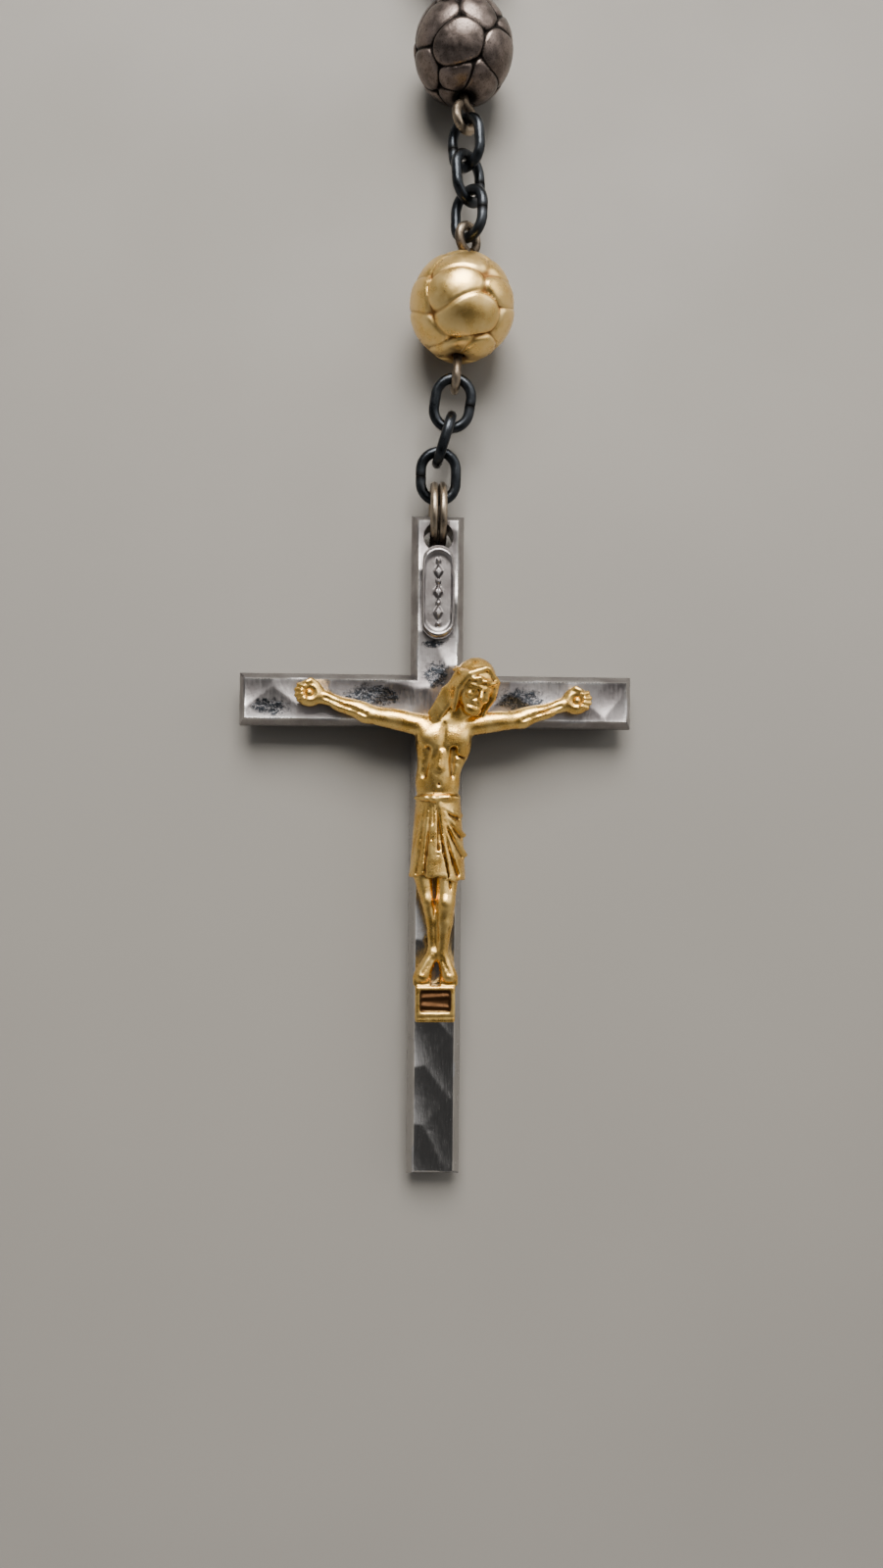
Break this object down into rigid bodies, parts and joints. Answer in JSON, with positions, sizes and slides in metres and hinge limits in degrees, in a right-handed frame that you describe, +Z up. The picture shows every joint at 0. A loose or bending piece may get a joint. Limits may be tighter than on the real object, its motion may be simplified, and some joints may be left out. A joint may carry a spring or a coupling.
{
  "type": "rosary",
  "caption": "Five-decade rosary with a metal crucifix, split ring, oval links, rose-bud beads on eye pins and a centre medal, laid flat with its loop open.",
  "frame": {"origin": "centre of the underside of the whole rosary's box, on the surface that it lies on", "axes": "+Y from the crucifix's foot to the top of the loop, +Z up from the surface, +X to the right as the crucifix faces up"},
  "size_m": [0.1896, 0.4302, 0.0078],
  "materials": {
    "steel": "hammered and polished, darkened in the recesses",
    "antique_gold": "antique gold with brown patina in the recesses",
    "satin_gold": "satin gold",
    "dark_bronze": "dark antique bronze, worn on the high places",
    "blackened": "blackened, polished by wear",
    "brass_wire": "greyed brass wire",
    "medal": "antique bronze relief"
  },
  "bodies": {
    "crucifix": {"cross_body": "steel", "titulus_plate": "steel", "corpus": "antique_gold", "rivet_hand_left": "antique_gold", "rivet_hand_right": "antique_gold"},
    "split_ring": {"split_ring": "brass_wire"},
    "lower_link_1": {"lower_link_1": "blackened"},
    "lower_link_2": {"lower_link_2": "blackened"},
    "lower_link_3": {"lower_link_3": "blackened"},
    "pater_pin_1": {"pater_pin_1": "brass_wire"},
    "pater_bead_1": {"pater_bead_1": "satin_gold"},
    "upper_link_1": {"upper_link_1": "blackened"},
    "upper_link_2": {"upper_link_2": "blackened"},
    "upper_link_3": {"upper_link_3": "blackened"},
    "ave_pin_1": {"ave_pin_1": "brass_wire"},
    "ave_bead_1": {"ave_bead_1": "dark_bronze"},
    "ave_pin_2": {"ave_pin_2": "brass_wire"},
    "ave_bead_2": {"ave_bead_2": "dark_bronze"},
    "ave_pin_3": {"ave_pin_3": "brass_wire"},
    "ave_bead_3": {"ave_bead_3": "dark_bronze"},
    "middle_link_1": {"middle_link_1": "blackened"},
    "middle_link_2": {"middle_link_2": "blackened"},
    "middle_link_3": {"middle_link_3": "blackened"},
    "pater_pin_2": {"pater_pin_2": "brass_wire"},
    "pater_bead_2": {"pater_bead_2": "satin_gold"},
    "top_link_1": {"top_link_1": "blackened"},
    "top_link_2": {"top_link_2": "blackened"},
    "top_link_3": {"top_link_3": "blackened"},
    "centre_medal": {"centre_medal": "medal"},
    "left_strand_1": {"left_strand_1": "dark_bronze"},
    "left_strand_2": {"left_strand_2": "dark_bronze"},
    "left_pater_pin_1": {"left_pater_pin_1": "brass_wire"},
    "left_pater_bead_1": {"left_pater_bead_1": "satin_gold"},
    "left_strand_3": {"left_strand_3": "dark_bronze"},
    "left_strand_4": {"left_strand_4": "dark_bronze"},
    "left_pater_pin_2": {"left_pater_pin_2": "brass_wire"},
    "left_pater_bead_2": {"left_pater_bead_2": "satin_gold"},
    "left_strand_5": {"left_strand_5": "dark_bronze"},
    "right_strand_1": {"right_strand_1": "dark_bronze"},
    "right_strand_2": {"right_strand_2": "dark_bronze"},
    "right_pater_pin_1": {"right_pater_pin_1": "brass_wire"},
    "right_pater_bead_1": {"right_pater_bead_1": "satin_gold"},
    "right_strand_3": {"right_strand_3": "dark_bronze"},
    "right_strand_4": {"right_strand_4": "dark_bronze"},
    "right_pater_pin_2": {"right_pater_pin_2": "brass_wire"},
    "right_pater_bead_2": {"right_pater_bead_2": "satin_gold"},
    "right_strand_5": {"right_strand_5": "dark_bronze"}
  },
  "joints": [
    {"name": "a_ring_swing", "type": "hinge", "parent": "crucifix", "child": "split_ring", "pos_m": [-0.0015, -0.16587, 0.00248], "axis": [-1, 0, 0], "range_deg": [-45, 45]},
    {"name": "b_lower_link_1", "type": "hinge", "parent": "split_ring", "child": "lower_link_1", "pos_m": [-0.0015, -0.16372, 0.00248], "axis": [0, 0, -1], "range_deg": [-45, 45]},
    {"name": "b_lower_link_2", "type": "hinge", "parent": "lower_link_1", "child": "lower_link_2", "pos_m": [-0.0015, -0.16126, 0.00305], "axis": [1, 0, 0], "range_deg": [-45, 45]},
    {"name": "b_lower_link_3", "type": "hinge", "parent": "lower_link_2", "child": "lower_link_3", "pos_m": [-0.0006, -0.15873, 0.00354], "axis": [-0.0529, -0.1729, 0.9835], "range_deg": [-45, 45]},
    {"name": "c_pater_1_pin", "type": "hinge", "parent": "lower_link_3", "child": "pater_pin_1", "pos_m": [-0.00029, -0.15607, 0.00403], "axis": [0.9903, -0.1392, 0], "range_deg": [-45, 45]},
    {"name": "c_pater_1_spin", "type": "hinge", "parent": "pater_pin_1", "child": "pater_bead_1", "pos_m": [0.00011, -0.15075, 0.00395], "axis": [0.0785, 0.9969, 0], "continuous": true},
    {"name": "d_upper_link_1", "type": "hinge", "parent": "pater_pin_1", "child": "upper_link_1", "pos_m": [0.00059, -0.14463, 0.00395], "axis": [-0.7049, 0.0555, 0.7071], "range_deg": [-45, 45]},
    {"name": "d_upper_link_2", "type": "hinge", "parent": "upper_link_1", "child": "upper_link_2", "pos_m": [0.00061, -0.14187, 0.00389], "axis": [0.7072, 0.0007, 0.707], "range_deg": [-45, 45]},
    {"name": "d_upper_link_3", "type": "hinge", "parent": "upper_link_2", "child": "upper_link_3", "pos_m": [0.00041, -0.13916, 0.00384], "axis": [0.7066, 0.0301, -0.707], "range_deg": [-45, 45]},
    {"name": "e_ave_1_pin", "type": "hinge", "parent": "upper_link_3", "child": "ave_pin_1", "pos_m": [0.00022, -0.13646, 0.00379], "axis": [-0.7045, -0.0623, -0.707], "range_deg": [-45, 45]},
    {"name": "e_ave_1_spin", "type": "hinge", "parent": "ave_pin_1", "child": "ave_bead_1", "pos_m": [0.00005, -0.13129, 0.0038], "axis": [-0.0349, 0.9994, 0], "continuous": true},
    {"name": "f_ave_2_pin", "type": "hinge", "parent": "ave_pin_1", "child": "ave_pin_2", "pos_m": [-0.00015, -0.1253, 0.0038], "axis": [0, 0, -1], "range_deg": [-45, 45]},
    {"name": "f_ave_2_spin", "type": "hinge", "parent": "ave_pin_2", "child": "ave_bead_2", "pos_m": [-0.00024, -0.12008, 0.0038], "axis": [-0.0175, 0.9998, 0], "continuous": true},
    {"name": "g_ave_3_pin", "type": "hinge", "parent": "ave_pin_2", "child": "ave_pin_3", "pos_m": [-0.00034, -0.11409, 0.0038], "axis": [0, 0, 1], "range_deg": [-45, 45]},
    {"name": "g_ave_3_spin", "type": "hinge", "parent": "ave_pin_3", "child": "ave_bead_3", "pos_m": [-0.00024, -0.10887, 0.0038], "axis": [0.0175, 0.9998, 0], "continuous": true},
    {"name": "h_middle_link_1", "type": "hinge", "parent": "ave_pin_3", "child": "middle_link_1", "pos_m": [-0.00014, -0.10288, 0.0038], "axis": [0, 0, -1], "range_deg": [-45, 45]},
    {"name": "h_middle_link_2", "type": "hinge", "parent": "middle_link_1", "child": "middle_link_2", "pos_m": [-0.00003, -0.10013, 0.00386], "axis": [-0.9994, 0.0349, 0], "range_deg": [-45, 45]},
    {"name": "h_middle_link_3", "type": "hinge", "parent": "middle_link_2", "child": "middle_link_3", "pos_m": [0.00001, -0.09742, 0.00391], "axis": [-0.0003, -0.0184, 0.9998], "range_deg": [-45, 45]},
    {"name": "i_pater_2_pin", "type": "hinge", "parent": "middle_link_3", "child": "pater_pin_2", "pos_m": [0, -0.09471, 0.00396], "axis": [1, 0, 0], "range_deg": [-45, 45]},
    {"name": "i_pater_2_spin", "type": "hinge", "parent": "pater_pin_2", "child": "pater_bead_2", "pos_m": [0, -0.08937, 0.00395], "axis": [0, 1, 0], "continuous": true},
    {"name": "j_top_link_1", "type": "hinge", "parent": "pater_pin_2", "child": "top_link_1", "pos_m": [0, -0.08323, 0.00395], "axis": [-1, 0, 0], "range_deg": [-45, 45]},
    {"name": "j_top_link_2", "type": "hinge", "parent": "top_link_1", "child": "top_link_2", "pos_m": [0, -0.08061, 0.00302], "axis": [0, 0.2952, 0.9554], "range_deg": [-45, 45]},
    {"name": "j_top_link_3", "type": "hinge", "parent": "top_link_2", "child": "top_link_3", "pos_m": [0, -0.07802, 0.00222], "axis": [1, 0, 0], "range_deg": [-45, 45]},
    {"name": "k_medal_swing", "type": "hinge", "parent": "top_link_3", "child": "centre_medal", "pos_m": [0, -0.07544, 0.00142], "axis": [0, -0.2952, -0.9554], "range_deg": [-45, 45]},
    {"name": "l_left_strand_1", "type": "hinge", "parent": "centre_medal", "child": "left_strand_1", "pos_m": [-0.00643, -0.0569, 0.00155], "axis": [0.7582, 0.652, 0], "range_deg": [-30, 30]},
    {"name": "l_left_strand_2", "type": "hinge", "parent": "left_strand_1", "child": "left_strand_2", "pos_m": [-0.04425, -0.00656, 0.0038], "axis": [-0.8412, -0.5407, 0], "range_deg": [-30, 30]},
    {"name": "l_left_pater_pin_1", "type": "hinge", "parent": "left_strand_2", "child": "left_pater_pin_1", "pos_m": [-0.07537, 0.05041, 0.00395], "axis": [0.9191, 0.3941, 0], "range_deg": [-30, 30]},
    {"name": "l_left_pater_bead_1_spin", "type": "hinge", "parent": "left_pater_pin_1", "child": "left_pater_bead_1", "pos_m": [-0.07733, 0.05537, 0.00395], "axis": [-0.3686, 0.9296, 0], "continuous": true},
    {"name": "l_left_strand_3", "type": "hinge", "parent": "left_pater_pin_1", "child": "left_strand_3", "pos_m": [-0.07959, 0.06108, 0.00395], "axis": [-0.9296, -0.3686, 0], "range_deg": [-30, 30]},
    {"name": "l_left_strand_4", "type": "hinge", "parent": "left_strand_3", "child": "left_strand_4", "pos_m": [-0.09105, 0.12309, 0.0038], "axis": [0.9965, -0.0839, 0], "range_deg": [-30, 30]},
    {"name": "l_left_pater_pin_2", "type": "hinge", "parent": "left_strand_4", "child": "left_pater_pin_2", "pos_m": [-0.06847, 0.18262, 0.00395], "axis": [-0.755, 0.6557, 0], "range_deg": [-30, 30]},
    {"name": "l_left_pater_bead_2_spin", "type": "hinge", "parent": "left_pater_pin_2", "child": "left_pater_bead_2", "pos_m": [-0.06461, 0.1863, 0.00395], "axis": [0.7181, 0.696, 0], "continuous": true},
    {"name": "l_left_strand_5", "type": "hinge", "parent": "left_pater_pin_2", "child": "left_strand_5", "pos_m": [-0.0602, 0.19058, 0.00395], "axis": [0.696, -0.7181, 0], "range_deg": [-30, 30]},
    {"name": "m_right_strand_1", "type": "hinge", "parent": "centre_medal", "child": "right_strand_1", "pos_m": [0.00643, -0.0569, 0.00155], "axis": [-0.7582, 0.652, 0], "range_deg": [-30, 30]},
    {"name": "m_right_strand_2", "type": "hinge", "parent": "right_strand_1", "child": "right_strand_2", "pos_m": [0.04425, -0.00656, 0.0038], "axis": [0.8412, -0.5407, 0], "range_deg": [-30, 30]},
    {"name": "m_right_pater_pin_1", "type": "hinge", "parent": "right_strand_2", "child": "right_pater_pin_1", "pos_m": [0.07537, 0.05041, 0.00395], "axis": [-0.9191, 0.3941, 0], "range_deg": [-30, 30]},
    {"name": "m_right_pater_bead_1_spin", "type": "hinge", "parent": "right_pater_pin_1", "child": "right_pater_bead_1", "pos_m": [0.07733, 0.05537, 0.00395], "axis": [0.3686, 0.9296, 0], "continuous": true},
    {"name": "m_right_strand_3", "type": "hinge", "parent": "right_pater_pin_1", "child": "right_strand_3", "pos_m": [0.07959, 0.06108, 0.00395], "axis": [0.9296, -0.3686, 0], "range_deg": [-30, 30]},
    {"name": "m_right_strand_4", "type": "hinge", "parent": "right_strand_3", "child": "right_strand_4", "pos_m": [0.09105, 0.12309, 0.0038], "axis": [-0.9965, -0.0839, 0], "range_deg": [-30, 30]},
    {"name": "m_right_pater_pin_2", "type": "hinge", "parent": "right_strand_4", "child": "right_pater_pin_2", "pos_m": [0.06847, 0.18262, 0.00395], "axis": [0.755, 0.6557, 0], "range_deg": [-30, 30]},
    {"name": "m_right_pater_bead_2_spin", "type": "hinge", "parent": "right_pater_pin_2", "child": "right_pater_bead_2", "pos_m": [0.06461, 0.1863, 0.00395], "axis": [-0.7181, 0.696, 0], "continuous": true},
    {"name": "m_right_strand_5", "type": "hinge", "parent": "right_pater_pin_2", "child": "right_strand_5", "pos_m": [0.0602, 0.19058, 0.00395], "axis": [-0.696, -0.7181, 0], "range_deg": [-30, 30]}
  ]
}
